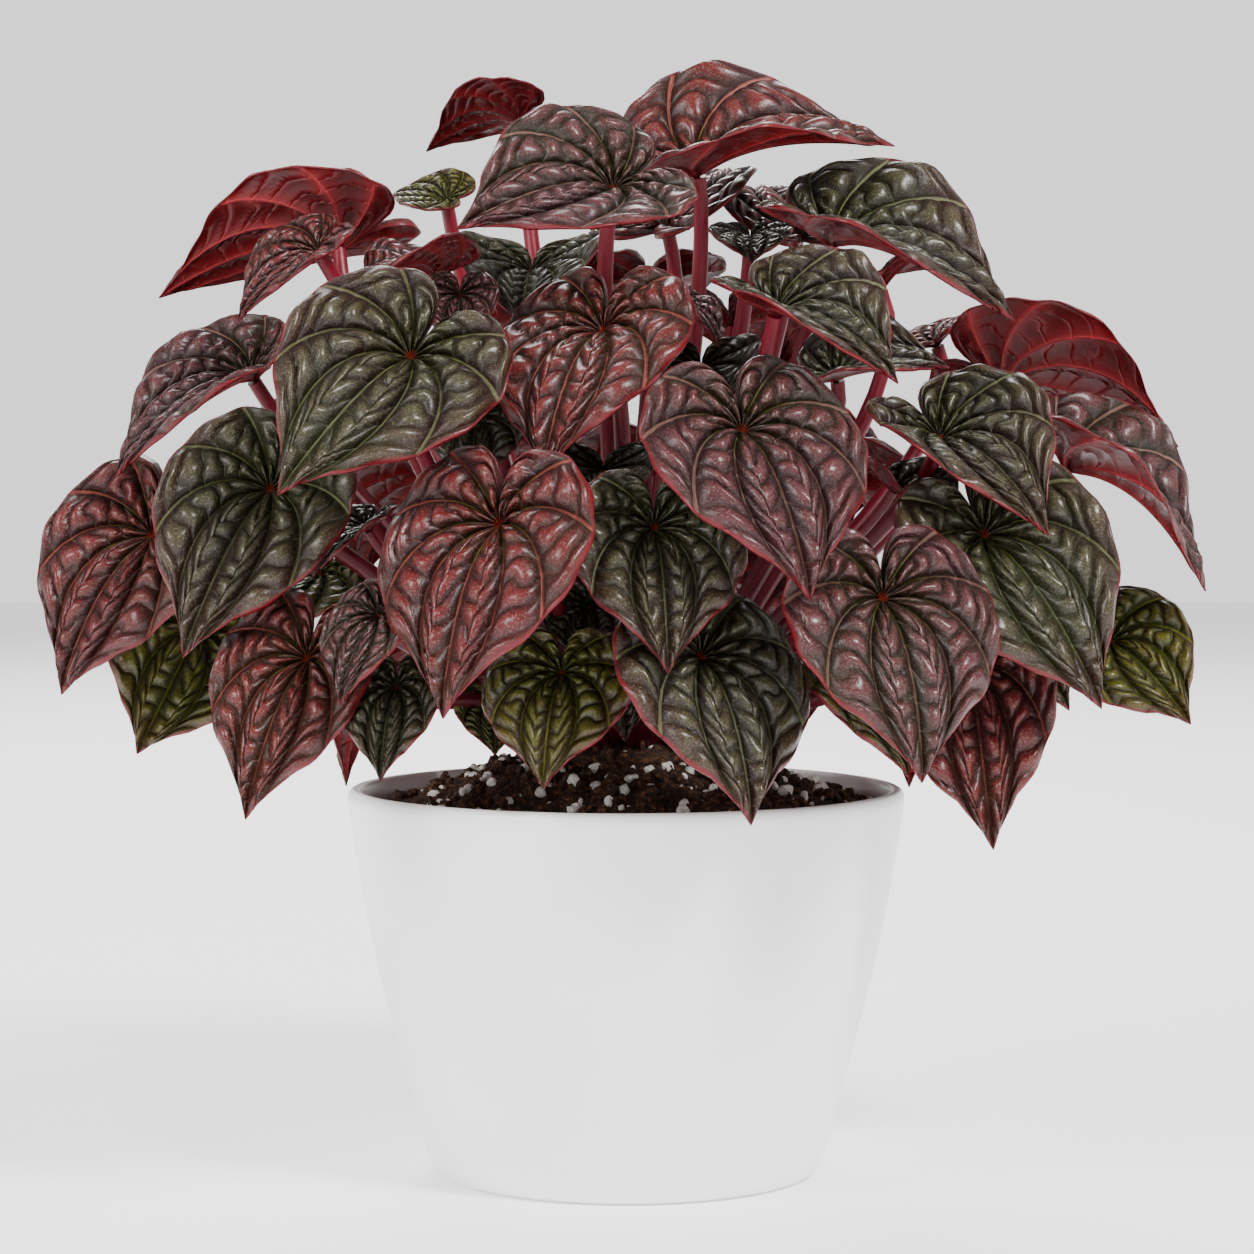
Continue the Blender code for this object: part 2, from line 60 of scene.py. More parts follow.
LEAVES = (
    Leaf("front_01", (-27, -74, 153), (-39, -90, 113), -6, 0.98, 0.05, -0.04, "bronze"),
    Leaf("front_02", (6, -66, 152), (9, -84, 122), 0, 0.95, 0.05, -0.04, "dark"),
    Leaf("front_03", (25, -66, 173), (39, -90, 138), 10, 0.95, 0.06, -0.04, "plum"),
    Leaf("front_04", (-5, -42, 195), (-18, -68, 164), 0, 0.95, 0.06, -0.04, "bronze"),
    Leaf("front_05", (16, -66, 124), (27, -84, 90), 0, 1.0, 0.05, -0.04, "dark"),
    Leaf("front_06", (-14, -56, 120), (-18, -68, 96), 0, 1.1, 0.05, -0.04, "olive"),
    Leaf("front_07", (55, -70, 137), (63, -86, 99), 5, 1.0, 0.06, -0.04, "plum"),
    Leaf("front_08", (-47, -56, 189), (-74, -80, 160), -42, 0.9, 0.06, 0.02, "dark"),
    Leaf("front_09", (-50, -60, 117), (-53, -72, 98), 0, 0.85, 0.05, 0, "dark"),
    Leaf("front_10", (-53, -68, 133), (-61, -80, 115), 0, 0.85, 0.05, 0, "plum"),
    Leaf("left_01", (-79, -42, 160), (-97, -58, 124), -38, 0.85, 0.06, 0.03, "dark"),
    Leaf("left_02", (-70, -52, 123), (-83, -64, 89), -30, 0.8, 0.06, 0.03, "bronze"),
    Leaf("left_03", (-109, -10, 149), (-130, -16, 113), -42, 0.95, 0.06, 0.02, "bronze"),
    Leaf("left_04", (-101, 12, 126), (-114, -2, 98), -50, 1.0, 0.05, 0, "olive"),
    Leaf("left_05", (-70, -14, 140), (-88, -22, 127), -30, 1.1, 0.06, 0, "olive"),
    Leaf("left_06", (-86, -8, 185), (-117, -18, 163), -18, 0.85, 0.08, 0.14, "plum"),
    Leaf("left_07", (-69, -28, 213), (-87, -34, 198), -20, 0.9, 0.08, 0.08, "bronze"),
    Leaf("left_08", (-66, -8, 215), (-109, 4, 205), 28, 0.75, 0.06, 0.16, "bronze"),
    Leaf("top_01", (17, 6, 233), (63, 12, 241), 22, 0.95, 0.06, 0.2, "bronze"),
    Leaf("top_02", (-3, -30, 227), (-37, -50, 218), -38, 0.95, 0.05, 0.08, "plum"),
    Leaf("top_03", (-26, 42, 248), (-49, 50, 242), 20, 1.0, 0.08, 0.08, "bronze"),
    Leaf("top_04", (-43, -24, 208), (-60, -38, 206), 0, 1.0, 0.08, 0.2, "bronze"),
    Leaf("top_05", (-22, 2, 210), (-24, -18, 198), 0, 1.3, 0.05, 0.15, "dark"),
    Leaf("right_01", (48, -2, 216), (89, -16, 199), 20, 0.9, 0.07, 0.2, "dark"),
    Leaf("right_02", (33, -46, 199), (59, -64, 184), 18, 0.9, 0.08, 0.2, "dark"),
    Leaf("right_03", (48, -20, 185), (73, -26, 188), 25, 1.2, 0.06, 0.12, "dark"),
    Leaf("right_04", (89, 14, 184), (131, 16, 170), -42, 0.9, 0.06, 0.05, "bronze"),
    Leaf("right_05", (70, -36, 171), (92, -60, 151), 20, 0.88, 0.08, 0.2, "dark"),
    Leaf("right_06", (102, -8, 164), (134, -12, 137), 12, 1.0, 0.08, 0.2, "plum"),
    Leaf("right_07", (79, -46, 150), (104, -60, 113), 42, 0.88, 0.06, 0.03, "dark"),
    Leaf("right_08", (113, -2, 124), (130, -14, 106), 45, 1.0, 0.06, 0.03, "olive"),
    Leaf("right_09", (77, -36, 120), (81, -52, 81), 18, 0.75, 0.06, 0.03, "bronze"),
    Leaf("right_10", (86, -14, 127), (101, -24, 110), 30, 1.0, 0.06, 0, "dark"),
    Leaf("right_11", (47, -50, 117), (62, -60, 98), 10, 0.85, 0.05, 0, "olive"),
    Leaf("rear_01", (-43, 30, 228), (-57, 37, 230), -30, 1.1, 0.06, 0.05, "olive"),
    Leaf("rear_02", (29, 6, 218), (29, -8, 212), 0, 1.1, 0.06, 0.05, "dark"),
    Leaf("rear_03", (41, 30, 219), (34, 56, 233), 0, 1.1, 0.06, 0.10, "bronze"),
    Leaf("rear_04", (10, 29, 221), (26, 55, 237), 0, 1.1, 0.06, 0.10, "bronze"),
    Leaf("rear_05", (61, 30, 207), (78, 50, 214), -20, 1.1, 0.06, 0.05, "bronze"),
    Leaf("rear_06", (75, 36, 194), (88, 46, 202), -10, 1.1, 0.06, 0.05, "bronze"),
)

# The small leaves in the heart of the plant. In the CAD they are part of the crown's node.
YOUNG_LEAVES = (
    Leaf("young_01", (-37, -38, 203), (-37, -46, 190), 0, 1.0, 0.08, 0.1, "plum"),
    Leaf("young_02", (11, -30, 201), (21, -36, 192), 0, 1.0, 0.12, 0.1, "plum"),
    Leaf("young_03", (-34, -34, 176), (-34, -42, 160), 0, 1.2, 0.05, 0.1, "dark"),
    Leaf("young_04", (17, -24, 187), (16, -36, 173), 0, 1.3, 0.05, 0.2, "dark"),
    Leaf("young_05", (-5, -34, 164), (-5, -44, 153), 0, 1.5, 0.05, 0.2, "dark"),
    Leaf("young_06", (60, -34, 160), (70, -44, 150), 0, 1.2, 0.05, 0.2, "dark"),
    Leaf("young_08", (-8, -44, 134), (-10, -50, 121), 0, 1.2, 0.05, 0.1, "dark"),
    Leaf("young_09", (-4, -34, 121), (0, -42, 104), 0, 1.0, 0.05, 0.0, "dark"),
    Leaf("young_10", (-31, -36, 112), (-29, -42, 101), 0, 1.3, 0.05, 0.1, "olive"),
    Leaf("young_11", (-58, -34, 151), (-70, -44, 141), 0, 1.0, 0.08, 0.1, "dark"),
)

# The far side's leaves: name, count, first and last bearing, joint radius and height, tip radius
# and height, finish. The draw and its seed are part.py's.
FAR_RINGS = (
    ("back_low", 5, 40, 136, 76, 126, 97, 90, "olive"),
    ("back_middle", 6, 44, 146, 84, 166, 112, 138, "dark"),
    ("back_high", 3, 60, 114, 58, 204, 92, 190, "bronze"),
)
FAR_STAGGER = 5
FAR_JITTER = 2
FAR_ASIDE = 6
FAR_SEED = 11
# The turn, breadth, arch and cup that they share.
FAR_FORM = (0, 1.0, 0.09, 0.05)

# The blade's mean surface is as in part.py. It is 0.1 mm thinner than there.
FUNNEL_HEIGHT = 0.13
FUNNEL_REACH = 0.17
BLADE_THICKNESS = 0.75 * MM

# The outline's reach against the bearing from the tip, in degrees.
OUTLINE_BEARING = (0, 1.5, 4, 8, 14, 25, 45, 70, 95, 120, 140, 155, 168, 176, 180)
OUTLINE_REACH = (1.0, 0.965, 0.905, 0.85, 0.79, 0.735, 0.675, 0.62, 0.565, 0.51, 0.462, 0.405, 0.30,
                 0.17, 0.06)
# Where each main vein leaves the joint, and where it meets the edge.
VEIN_START = (0, 50, 88, 120, 150, 180)
VEIN_END = (0, 5, 42, 88, 132, 180)
# Cross grooves in each strip between two veins, and how far each slants forward across it.
CROSS_GROOVES = (7.0, 6.5, 6.0, 5.0, 3.5)
GROOVE_SLANT = (1.0, 1.5, 1.3, 1.1, 0.8)
# The cross grooves crowd towards the edge by this power, and slant more beside the midrib.
GROOVE_CROWDING = 1.15
MIDDLE_SLANT = 1.6
# They start at another place on every leaf, in every strip and in the outer half of the strip
# beside the midrib, and wander by shares of one groove, in long and in short waves.
LEAF_PHASE = 0.37
STRIP_PHASE = 0.61
HALF_PHASE = 0.5
LONG_WOBBLE = 0.16
SHORT_WOBBLE = 0.12
PILLOW_HEIGHT = 0.055
# The pillows' roundness: under 1 makes their tops broad and the grooves between them sharp.
PILLOW_ROUNDNESS = 0.6
# A cross groove goes down to this share of a pillow's height, a main vein's groove to nothing.
CROSS_FLOOR = 0.42
# The pillows reach their full height at this share of a ray.
FULL_PILLOW = 0.22
# The mean surface lies this share of a pillow's height above the grooves.
RELIEF_LEVEL = 0.35
# The relief fades out over these shares of a ray, at the joint and at the edge.
CALM_JOINT = 0.1
CALM_EDGE = 0.06
# The edge curls down from this share of a ray, by this share of the length.
CURL_START = 0.86
CURL_DEPTH = 0.018
# The red margin's start and width, and the mesh's last rings, as shares of a ray. The other
# rings crowd towards the joint by a power.
MARGIN_START = 0.972
MARGIN_WIDTH = 0.012
MARGIN_RINGS = (0.975, 0.992, 1.0)
RING_CROWDING = 1.05
# The edge's waves: their share of its reach, their number in a full turn, and the bearings
# between which it has them.
EDGE_WAVE = 0.012
EDGE_WAVES = 14
WAVY_BEARINGS = (12, 165)
# The tint round the joint ends here and the red flush begins here, as shares of the length
# and of a ray.
CORE_REACH = 0.34
FLUSH_START = 0.6
# The blade is thinnest at its edge, at this share of its thickness.
THIN_EDGE = 0.55
# The step from one leaf's seed to the next, and the first small leaf's seed.
SEED_STEP = 1.7
YOUNG_SEED_STEP = 2.3
YOUNG_SEED = 0.4
# Shares across a strip at which the fine and the plain mesh have their rays.
FINE_RAYS = (0, 0.03, 0.09, 0.18, 0.29, 0.4, 0.5, 0.6, 0.71, 0.82, 0.91, 0.97)
PLAIN_RAYS = (0, 0.06, 0.22, 0.4, 0.6, 0.78, 0.94)
FINE_RINGS = 40
PLAIN_RINGS = 26
YOUNG_RINGS = 18
# A near leaf longer than this has the fine mesh.
FINE_LENGTH = 30 * MM

# Stalks and the crown they stand on.
SOIL_TOP = 98 * MM
CROWN_RISE = 4 * MM
ROOT_DEPTH = 5 * MM
ROOT_SPREAD = 19 * MM
FULL_SPREAD = 100 * MM
CROWN_DEPTH = 11 * MM
# The crown is a little inside its CAD solid, for its knobs.
CROWN_RADIUS = 23.7 * MM
HUMP_RADIUS = 0.97 * CROWN_RADIUS
LARGE_KNOB = 0.05
SMALL_KNOB = 0.03
STALK_RADIUS = 2.1 * MM
YOUNG_STALK_RADIUS = 1.4 * MM
# The radius at the root and at the blade, as shares.
STALK_TAPER = (1.15, 0.8)
# How far a stalk's end is sunk into its blade.
STALK_SINK = 0.15 * MM
YOUNG_STALK_SINK = 0.3 * MM
# How far out a stalk leans at its root, and how long its Bezier handles are, as shares.
STALK_LEAN = 0.7
STALK_RISE = 0.4
STALK_ARRIVAL = 0.22
STALK_SIDES = 14
STALK_STEPS = 14

# The soil and what lies on it.
SOIL_EDGE = 60.6 * MM
SOIL_EDGE_Z = 85 * MM
SOIL_FLOOR_Z = 76 * MM
# This power moves the mound's steepest part outward. Its foot is this share of its edge.
SOIL_POWER = 1.5
SOIL_FOOT = 0.97
SOIL_RINGS = 90
SOIL_SIDES = 170
# The spacing and height of the soil's lumps in millimetres, the waves that cross to make each
# size, the share of its height that a wave has, and the factors that spread its spacing.
SOIL_LUMPS = ((7.0, 0.9), (3.6, 0.65), (2.1, 0.45), (1.3, 0.3))
LUMP_WAVES = 5
LUMP_SHARE = 0.36
LUMP_SPREAD = (0.7, 1.3)
SOIL_SEED = 5
# The lumps fade out this near the pot's wall.
SOIL_CALM = 2 * MM
# For the grains, the ground over the crown is this much below the crown's surface.
CRUST_SINK = 0.4 * MM
# The grains lie between these distances from the pot's axis.
GRAIN_FROM = 3 * MM
GRAIN_TO = 58.8 * MM
# The most that a grain turns about each axis, in radians: about a full turn.
GRAIN_TURN = 6.28
# Each grain's source is a ball with flats cut off it at a share of its radius, and made uneven.
GRAIN_FLATS = 7
FLAT_AT = 0.72
GRAIN_UNEVEN = 0.06
# Name, source, count, smallest and largest size in millimetres, seed, finish, and the height of
# a grain's middle over the ground as a share of its size.
GRAINS = (
    ("soil_crumbs", "crumb", 1300, (0.6, 2.1), 21, "soil", 0.2),
    ("perlite", "pebble", 330, (0.7, 2.2), 34, "perlite", 0.3),
    ("bark_chips", "chip", 90, (1.0, 2.4), 55, "soil", 0.35),
)

# The pot's profile, from its base up the outside, over the rim and down the inside to a floor
# under the soil, as radius and height in millimetres.
POT_PROFILE = ((42, 0), (43.6, 0.3), (45, 1.4), (46.2, 3.6), (47.6, 8), (50.5, 20), (53.4, 30),
               (56, 40), (58.4, 50), (60.5, 60), (62.0, 68), (63.3, 76), (64.2, 82), (64.8, 86),
               (64.95, 87.6), (64.8, 88.8), (64.3, 89.6), (63.6, 90), (62.7, 90), (62.0, 89.7),
               (61.6, 89), (61.3, 86), (60.4, 76), (57.5, 60))
POT_SIDES = 160

# How far the grain shifts a leaf's colour between groove and pillow.
SPECKLE = 0.45
# How strongly each mark or pattern colours a leaf, where 1 hides what is under it.
CORE_TINT = 0.6
EDGE_FLUSH = 0.5
PATCH_FLUSH = 0.35
GLINT_SHARE = 0.14
CROSS_LINE = 0.16
MAIN_LINE = 0.75
UNDER_LINE = 0.5
# The finish's quilting is a little deeper at a cross groove than the mesh's.
FINE_CROSS_FLOOR = 0.38

# The scale of each pattern, in features a metre.
LEAF_CELLS = 1500.0  # The skin's cells, 0.7 mm. The real ones are finer and wouldn't show.
LEAF_GLINTS = 2600.0  # Painted glints: pale highlight specks of 0.4 mm.
LEAF_GRAIN = 1300.0  # Mottling of 0.8 mm.
LEAF_PATCHES = 60.0  # Redder patches of 17 mm.
LEAF_AGEING = 22.0  # Greener areas as large as a leaf.
STALK_MOTTLING = 260.0  # Patches of 4 mm.
STALK_SKIN = 700.0
SOIL_FLECKS = 900.0  # Flecks of 1 mm.
SOIL_ROUGHNESS = 1400.0
PERLITE_HOLLOWS = 1500.0
POT_CLOUDS = 30.0
POT_SKIN = 500.0
FLOOR_CLOUDS = 3.0

FLOOR_REACH = 3.0
# Each light's name, place and side in metres, and power in watts. All point at one place.
LIGHTS = (
    ("key", (0.9, -1.0, 1.5), 0.45, 58),
    ("fill", (-1.2, -0.9, 0.9), 0.7, 24),
    ("back", (-0.2, 1.4, 1.3), 0.9, 34),
)
LIT_POINT = (0, 0, 0.15)
# The world's brightness near the horizon and overhead, and the heights in the sky, as shares,
# between which it changes.
HORIZON_GLOW = 1.4
OVERHEAD_GLOW = 0.7
GLOW_HEIGHTS = (0.12, 0.5)

# The camera, in metres and degrees, with its sensor and lens in millimetres. It is shifted by
# one pixel of the photo's 1254.
CAMERA_PLACE = (0, -0.9, 0.173)
CAMERA_TILT = 87.1
CAMERA_SENSOR = 36
CAMERA_LENS = 110.9
CAMERA_SHIFT = 1 / 1254
CAMERA_NEAR = 0.01


def linear(hexcode):
    """An sRGB hex colour as linear RGBA."""
    parts = [int(hexcode[i:i + 2], 16) / 255 for i in (1, 3, 5)]
    return (*[c / 12.92 if c <= 0.04045 else ((c + 0.055) / 1.055)**2.4 for c in parts], 1)


class Tree:
    """Adds nodes to a material's node tree, with their settings and links."""

    def __init__(self, material):
        self.nodes = material.node_tree.nodes
        self.links = material.node_tree.links

    def add(self, kind, inputs=None, **settings):
        """A node with its settings, and each input linked or given a value."""
        node = self.nodes.new(kind)
        for key, value in settings.items():
            setattr(node, key, value)
        for key, value in (inputs or {}).items():
            socket = node.inputs[key]
            if isinstance(value, bpy.types.NodeSocket):
                self.links.new(value, socket)
            else:
                socket.default_value = value
        return node

    def number(self, name):
        """A number marked on the mesh."""
        return self.add("ShaderNodeAttribute", attribute_name=name).outputs["Fac"]

    def ramp(self, factor, *stops):
        """A colour that changes with a factor, by places and their colours."""
        node = self.add("ShaderNodeValToRGB", {"Fac": factor})
        ramp = node.color_ramp
        ramp.elements[0].position, ramp.elements[0].color = stops[0]
        ramp.elements[-1].position, ramp.elements[-1].color = stops[-1]
        for place, colour in stops[1:-1]:
            ramp.elements.new(place).color = colour
        return node.outputs["Color"]

    def mix(self, factor, first, second):
        """Two colours mixed: all the first at 0 and all the second at 1."""
        node = self.add("ShaderNodeMix", data_type="RGBA")
        for key, value in ((0, factor), (6, first), (7, second)):
            if isinstance(value, bpy.types.NodeSocket):
                self.links.new(value, node.inputs[key])
            else:
                node.inputs[key].default_value = value
        return node.outputs[2]

    def maths(self, operation, first, second):
        """The result of one operation on two numbers."""
        node = self.add("ShaderNodeMath", {0: first, 1: second}, operation=operation)
        return node.outputs[0]

    def noise(self, scale, detail=2.0):
        """Noise from 0 to 1 by place in the object, with its scale in features a metre."""
        place = self.add("ShaderNodeTexCoord").outputs["Object"]
        node = self.add("ShaderNodeTexNoise", {"Vector": place, "Scale": scale, "Detail": detail})
        return node.outputs["Fac"]


def new_material(name, roughness, **constants):
    """A Principled material, its tree builder and its shader."""
    material = bpy.data.materials.new(name)
    material.use_nodes = True
    shader = material.node_tree.nodes["Principled BSDF"]
    shader.inputs["Roughness"].default_value = roughness
    for key, value in constants.items():
        shader.inputs[key.replace("_", " ")].default_value = value
    return material, Tree(material), shader


# The upper face's colours: groove, flank, pillow, flush near the edge, tint near the joint, veins.
# The near black groove colour is painted shade, and the pale pillow colour a painted sheen.
FINISHES = {
    "dark": ("#010100", "#0C0B04", "#34351F", "#340D07", "#162A06", "#6C6C4C"),
    "bronze": ("#050101", "#240406", "#5C1617", "#360505", "#2A1E08", "#8E4A3E"),
    "plum": ("#030202", "#1A0809", "#4C2426", "#3A0910", "#162408", "#7E5C50"),
    "olive": ("#030300", "#161C02", "#484C08", "#421804", "#22340A", "#767622"),
}


def fine_relief(tree):
    """The quilting at full sharpness: its height, and lines along the main and cross veins."""
    aside = tree.number("aside")
    phase = tree.maths("FRACT", tree.number("turns"), 0.0)
    crosswise = tree.maths("MULTIPLY", phase, tree.maths("SUBTRACT", 1.0, phase))
    crosswise = tree.maths("POWER", tree.maths("MULTIPLY", crosswise, 4.0), PILLOW_ROUNDNESS)
    lengthwise = tree.maths("MULTIPLY", aside, tree.maths("SUBTRACT", 1.0, aside))
    lengthwise = tree.maths("POWER", tree.maths("MULTIPLY", lengthwise, 4.0), PILLOW_ROUNDNESS)
    crosswise = tree.maths("MULTIPLY", crosswise, 1 - FINE_CROSS_FLOOR)
    crosswise = tree.maths("ADD", crosswise, FINE_CROSS_FLOOR)
    height = tree.maths("MULTIPLY", lengthwise, crosswise)
    main = tree.add("ShaderNodeMapRange", {"Value": aside, "From Min": 0.042, "From Max": 0.012},
                    interpolation_type="SMOOTHSTEP").outputs[0]
    apart = tree.maths("PINGPONG", tree.number("turns"), 0.5)
    cross = tree.add("ShaderNodeMapRange", {"Value": apart, "From Min": 0.05, "From Max": 0.01},
                     interpolation_type="SMOOTHSTEP").outputs[0]
    return height, main, cross


def leaf_material(finish):
    """A living quilted leaf: dark with painted shade in its grooves, silvery with a painted sheen on
    its pillows, crimson below with painted shade under its pillows.
    """
    groove, flank, pillow, flush, tint, line = map(linear, FINISHES[finish])
    material, tree, shader = new_material(f"quilted_leaf_{finish}", 0.5, Specular_IOR_Level=0.33)
    height, main, cross = fine_relief(tree)
    grain = tree.noise(LEAF_GRAIN, 3.0)
    glints = tree.add("ShaderNodeMapRange", {"Value": tree.noise(LEAF_GLINTS),
                                             "From Min": 0.52, "From Max": 0.66}).outputs[0]
    patches = tree.noise(LEAF_PATCHES)
    speckle = tree.maths("MULTIPLY", tree.maths("SUBTRACT", grain, 0.5), SPECKLE)
    level = tree.maths("ADD", height, speckle)
    # Painted shade and sheen: the colour is near black in the grooves and palest on the pillow tops.
    face = tree.ramp(level, (0.22, groove), (0.6, flank), (1.0, pillow))
    face = tree.mix(tree.maths("MULTIPLY", tree.number("core"), CORE_TINT), face, tint)
    face = tree.mix(tree.maths("MULTIPLY", tree.number("edge"), EDGE_FLUSH), face, flush)
    face = tree.mix(tree.maths("MULTIPLY", patches, PATCH_FLUSH), face, flush)
    ageing = tree.add("ShaderNodeMapRange", {"Value": tree.noise(LEAF_AGEING, 1.0),
                                             "From Min": 0.42, "From Max": 0.6,
                                             "To Max": 0.5}).outputs[0]
    ageing = tree.maths("MULTIPLY", ageing, tree.maths("SUBTRACT", 1.15, height))
    face = tree.mix(ageing, face, tint)
    # Painted highlight: pale glints, laid only on the raised pillows.
    glints = tree.maths("MULTIPLY", glints, tree.maths("MULTIPLY", height, GLINT_SHARE))
    face = tree.mix(glints, face, linear("#B8A89C"))
    face = tree.mix(tree.maths("MULTIPLY", cross, CROSS_LINE), face, line)
    vein = tree.ramp(tree.number("core"), (0.0, line), (0.5, linear("#8C9440")),
                     (0.9, linear("#C8401C")))
    face = tree.mix(tree.maths("MULTIPLY", main, MAIN_LINE), face, vein)
    joint = tree.add("ShaderNodeMapRange", {"Value": tree.number("core"), "From Min": 0.86,
                                            "From Max": 0.97}).outputs[0]
    face = tree.mix(joint, face, linear("#A83214"))
    # Painted shade below: the underside is lightest under the grooves and darkest in the hollows
    # under the pillows.
    below = tree.ramp(height, (0.0, linear("#98181C")), (0.3, linear("#6C080F")),
                      (1.0, linear("#420409")))
    below = tree.mix(tree.maths("MULTIPLY", main, UNDER_LINE), below, linear("#B03840"))
    face = tree.mix(tree.number("under"), face, below)
    face = tree.mix(tree.number("margin"), face, linear("#5C0812"))
    tree.links.new(face, shader.inputs["Base Color"])
    rough = tree.add("ShaderNodeMapRange", {"Value": level, "To Min": 0.64, "To Max": 0.3})
    tree.links.new(rough.outputs[0], shader.inputs["Roughness"])
    cells = tree.add("ShaderNodeTexVoronoi", {
        "Vector": tree.add("ShaderNodeTexCoord").outputs["Object"], "Scale": LEAF_CELLS})
    skin = tree.add("ShaderNodeBump", {"Height": cells.outputs["Distance"], "Strength": 0.15,
                                       "Distance": 0.0002})
    quilt = tree.add("ShaderNodeBump", {"Height": height, "Strength": 0.9, "Distance": 0.0022,
                                        "Normal": skin.outputs[0]})
    tree.links.new(quilt.outputs[0], shader.inputs["Normal"])
    return material


def stalk_material():
    """Smooth fleshy crimson stalks, darker low down, with faint mottling."""
    material, tree, shader = new_material("fleshy_crimson_stalk", 0.4, Specular_IOR_Level=0.3,
                                          Subsurface_Weight=0.12, Subsurface_Scale=0.002)
    place = tree.add("ShaderNodeTexCoord").outputs["Object"]
    height = tree.add("ShaderNodeSeparateXYZ", {0: place}).outputs["Z"]
    share = tree.add("ShaderNodeMapRange", {"Value": height, "From Min": 0.09, "From Max": 0.2})
    colour = tree.ramp(share.outputs[0], (0.0, linear("#220207")), (0.45, linear("#520513")),
                       (1.0, linear("#720D20")))
    mottling = tree.maths("MULTIPLY", tree.noise(STALK_MOTTLING, 3.0), 0.35)
    colour = tree.mix(mottling, colour, linear("#44061A"))
    tree.links.new(colour, shader.inputs["Base Color"])
    bump = tree.add("ShaderNodeBump", {"Height": tree.noise(STALK_SKIN), "Strength": 0.15,
                                       "Distance": 0.0004})
    tree.links.new(bump.outputs[0], shader.inputs["Normal"])
    return material


def soil_material():
    """Moist peat potting mix: brown-black crumbs with lighter flecks."""
    material, tree, shader = new_material("moist_potting_soil", 0.9)
    colour = tree.ramp(tree.noise(SOIL_FLECKS, 4.0), (0.3, linear("#120905")),
                       (0.52, linear("#38200F")), (0.76, linear("#80532F")))
    tree.links.new(colour, shader.inputs["Base Color"])
    bump = tree.add("ShaderNodeBump", {"Height": tree.noise(SOIL_ROUGHNESS, 4.0),
                                       "Strength": 0.7, "Distance": 0.001})
    tree.links.new(bump.outputs[0], shader.inputs["Normal"])
    return material


def perlite_material():
    """Chalky white expanded perlite with greyer hollows."""
    material, tree, shader = new_material("chalky_perlite", 0.85)
    colour = tree.ramp(tree.noise(PERLITE_HOLLOWS), (0.3, linear("#B9B2A8")),
                       (0.7, linear("#F1EEE8")))
    tree.links.new(colour, shader.inputs["Base Color"])
    return material


def pot_material():
    """Satin moulded white plastic with a barely uneven skin."""
    material, tree, shader = new_material("satin_white_plastic", 0.3, Coat_Weight=0.15,
                                          Coat_Roughness=0.25)
    colour = tree.ramp(tree.noise(POT_CLOUDS), (0.3, linear("#F1F1F0")), (0.7, linear("#F6F6F5")))
    tree.links.new(colour, shader.inputs["Base Color"])
    bump = tree.add("ShaderNodeBump", {"Height": tree.noise(POT_SKIN), "Strength": 0.04,
                                       "Distance": 0.0003})
    tree.links.new(bump.outputs[0], shader.inputs["Normal"])
    return material


def floor_material():
    """A plain pale matt floor, with a faint glow that keeps it pale far from the lights."""
    material, tree, shader = new_material("matt_pale_floor", 0.7, Emission_Strength=0.35)
    shader.inputs["Emission Color"].default_value = (1, 1, 1, 1)
    colour = tree.ramp(tree.noise(FLOOR_CLOUDS), (0.3, linear("#F9F9F9")), (0.7, linear("#FCFCFC")))
    tree.links.new(colour, shader.inputs["Base Color"])
    return material


def linked_object(name, data):
    """A new object in the scene's own collection."""
    made = bpy.data.objects.new(name, data)
    bpy.context.scene.collection.objects.link(made)
    return made


def add_piece(name, mesh, replaced):
    """A piece of the plant or pot, with the CAD nodes that it stands for."""
    piece = linked_object(name, mesh)
    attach(piece, "root")
    if replaced:
        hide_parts(*replaced)


def far_leaves():
    """The far side's leaves, ring by ring, every other one set back a little."""
    draw = random.Random(FAR_SEED)
    made = []
    for name, count, first, last, joint_r, joint_z, tip_r, tip_z, finish in FAR_RINGS:
        for i in range(count):
            bearing = math.radians(first + (last - first) * i / (count - 1))
            aside = math.radians(draw.uniform(-FAR_ASIDE, FAR_ASIDE))
            back = FAR_STAGGER * (1 if i % 2 else -1)
            shift = [draw.uniform(-FAR_JITTER, FAR_JITTER) for _ in range(3)]
            joint = ((joint_r + back) * math.cos(bearing) + shift[0],
                     (joint_r + back) * math.sin(bearing) + shift[1], joint_z + back + shift[2])
            tip = ((tip_r + back) * math.cos(bearing + aside) + shift[0],
                   (tip_r + back) * math.sin(bearing + aside) + shift[1], tip_z + back + shift[2])
            made.append(Leaf(f"{name}_{i + 1:02d}", joint, tip, *FAR_FORM, finish))
    return made


def blade_frame(leaf):
    """The blade's axes at its joint: along to the tip, to the side, and up out of its face."""
    joint, tip = Vector(leaf.joint) * MM, Vector(leaf.tip) * MM
    along = (tip - joint).normalized()
    up = (Vector((0, 0, 1)) - along * along.z).normalized()
    up.rotate(Quaternion(along, math.radians(leaf.turn)))
    side = up.cross(along)
    axes = Matrix((along, side, up)).transposed().to_4x4()
    axes.translation = joint
    return axes, (tip - joint).length


def strip_rays(shares):
    """Every ray round the blade: its strip, share across the strip, side, start and end bearing."""
    rows = []
    for side in (1, -1):
        for strip in range(len(VEIN_START) - 1):
            for share in shares:
                start = VEIN_START[strip] + (VEIN_START[strip + 1] - VEIN_START[strip]) * share
                end = VEIN_END[strip] + (VEIN_END[strip + 1] - VEIN_END[strip]) * share
                if side < 0 and strip == 0 and share == 0:
                    continue
                rows.append((strip, share, side, start, end))
    rows.append((len(VEIN_START) - 2, 1.0, 1, 180.0, 180.0))
    return np.array(sorted(rows, key=lambda row: row[2] * row[4]))


